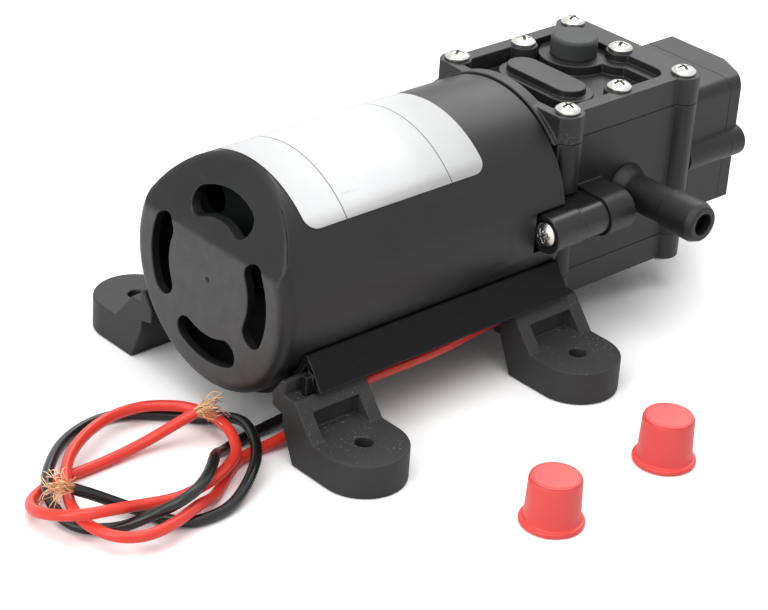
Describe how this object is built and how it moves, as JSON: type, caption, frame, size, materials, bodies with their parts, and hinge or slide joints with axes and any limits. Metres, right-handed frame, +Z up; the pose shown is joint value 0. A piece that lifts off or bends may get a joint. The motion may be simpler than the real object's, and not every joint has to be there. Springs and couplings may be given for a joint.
{
  "type": "diaphragm water pump",
  "caption": "Small electric diaphragm pump: a vented motor in a sleeve on rubber feet drives a square pump head with hose tails and a pressure switch; loose leads and port caps lie beside it.",
  "frame": {"origin": "centre of the four foot screw holes, on the floor", "axes": "+X along the motor axis from the vented rear end to the pump head and switch, +Y towards the inlet side, +Z up"},
  "size_m": [0.2231, 0.1409, 0.0625],
  "materials": {
    "black_plastic": "satin moulded",
    "label": "printed film, bare",
    "black_paint": "satin black paint on steel",
    "black_rubber": "matt",
    "grey_rubber": "matt",
    "bright_steel": "bright, machined",
    "dark_steel": "dull",
    "ferrite": "dull",
    "board_green": "laminate board",
    "carbon": "dull",
    "bronze": "sintered",
    "copper": "bare copper",
    "cream_plastic": "moulded",
    "brown_rubber": "soft",
    "switch_black": "moulded",
    "button_red": "moulded",
    "lead_red": "smooth insulation",
    "lead_black": "smooth insulation",
    "cap_red": "soft translucent moulding"
  },
  "bodies": {
    "base": {"motor_sleeve": "black_plastic", "rating_label": "label", "base_plate": "black_paint", "base_screws": "bright_steel", "foot_rear_near": "black_rubber", "foot_rear_far": "black_rubber", "foot_front_near": "black_rubber", "foot_front_far": "black_rubber", "motor_can": "dark_steel", "magnets": "ferrite", "brush_board": "board_green", "brushes": "carbon", "rear_bearing": "bronze", "front_bearing": "bright_steel", "motor_flange": "black_plastic", "adapter_plate": "black_plastic", "ear_screws": "bright_steel", "pump_body": "black_plastic", "outlet_port": "black_plastic", "inlet_port": "black_plastic", "top_cover": "black_plastic", "bottom_cover": "black_plastic", "top_screws": "bright_steel", "bottom_screws": "bright_steel", "bypass_plug": "grey_rubber", "upper_diaphragm": "black_rubber", "lower_diaphragm": "black_rubber", "upper_valve_plate": "cream_plastic", "lower_valve_plate": "cream_plastic", "upper_gasket": "black_rubber", "lower_gasket": "black_rubber", "switch_housing": "black_plastic", "switch_cover": "black_plastic", "switch_screws": "bright_steel", "switch_diaphragm": "black_rubber", "switch_spring": "bright_steel", "microswitch": "switch_black", "lead_grommet": "black_rubber", "lead_red": "lead_red", "lead_black": "lead_black", "copper_red": "copper", "copper_black": "copper"},
    "rotor": {"motor_shaft": "bright_steel", "armature_core": "dark_steel", "armature_winding": "copper", "commutator": "copper", "eccentric": "dark_steel"},
    "yoke": {"eccentric_bearing": "bright_steel", "yoke": "cream_plastic", "upper_retainer": "cream_plastic", "lower_retainer": "cream_plastic", "retainer_screws": "bright_steel"},
    "upper_inlet_valve": {"upper_inlet_valve": "brown_rubber"},
    "upper_outlet_valve": {"upper_outlet_valve": "brown_rubber"},
    "lower_inlet_valve": {"lower_inlet_valve": "brown_rubber"},
    "lower_outlet_valve": {"lower_outlet_valve": "brown_rubber"},
    "switch_plunger": {"switch_plunger": "cream_plastic"},
    "microswitch_button": {"microswitch_button": "button_red"},
    "port_cap_front": {"port_cap_front": "cap_red"},
    "port_cap_rear": {"port_cap_rear": "cap_red"}
  },
  "joints": [
    {"name": "rotor_spin", "type": "hinge", "parent": "base", "child": "rotor", "pos_m": [0, 0, 0.0345], "axis": [1, 0, 0], "continuous": true, "deforming": ["upper_diaphragm", "lower_diaphragm"]},
    {"name": "yoke_swing", "type": "hinge", "parent": "rotor", "child": "yoke", "pos_m": [0.0674, 0, 0.036], "axis": [1, 0, 0], "continuous": true},
    {"name": "upper_inlet_lift", "type": "slide", "parent": "base", "child": "upper_inlet_valve", "axis": [0, 0, -1], "range_m": [0, 0.0008], "stiffness_N_per_m": 5},
    {"name": "upper_outlet_lift", "type": "slide", "parent": "base", "child": "upper_outlet_valve", "axis": [0, 0, 1], "range_m": [0, 0.0008], "stiffness_N_per_m": 5},
    {"name": "lower_inlet_lift", "type": "slide", "parent": "base", "child": "lower_inlet_valve", "axis": [0, 0, 1], "range_m": [0, 0.0008], "stiffness_N_per_m": 5},
    {"name": "lower_outlet_lift", "type": "slide", "parent": "base", "child": "lower_outlet_valve", "axis": [0, 0, -1], "range_m": [0, 0.0008], "stiffness_N_per_m": 5},
    {"name": "plunger_rise", "type": "slide", "parent": "base", "child": "switch_plunger", "axis": [0, 0, 1], "range_m": [0, 0.001], "stiffness_N_per_m": 60, "deforming": ["switch_spring"]},
    {"name": "button_press", "type": "slide", "parent": "base", "child": "microswitch_button", "axis": [0, 0, 1], "range_m": [0, 0.001]},
    {"name": "front_cap_lift", "type": "slide", "parent": "base", "child": "port_cap_front", "axis": [0, 0, 1], "range_m": [0, 0.04]},
    {"name": "rear_cap_lift", "type": "slide", "parent": "base", "child": "port_cap_rear", "axis": [0, 0, 1], "range_m": [0, 0.04]}
  ],
  "couplings": [
    {"joint": "yoke_swing", "follows": "rotor_spin", "ratio": -1},
    {"joint": "button_press", "follows": "plunger_rise", "ratio": 1}
  ]
}
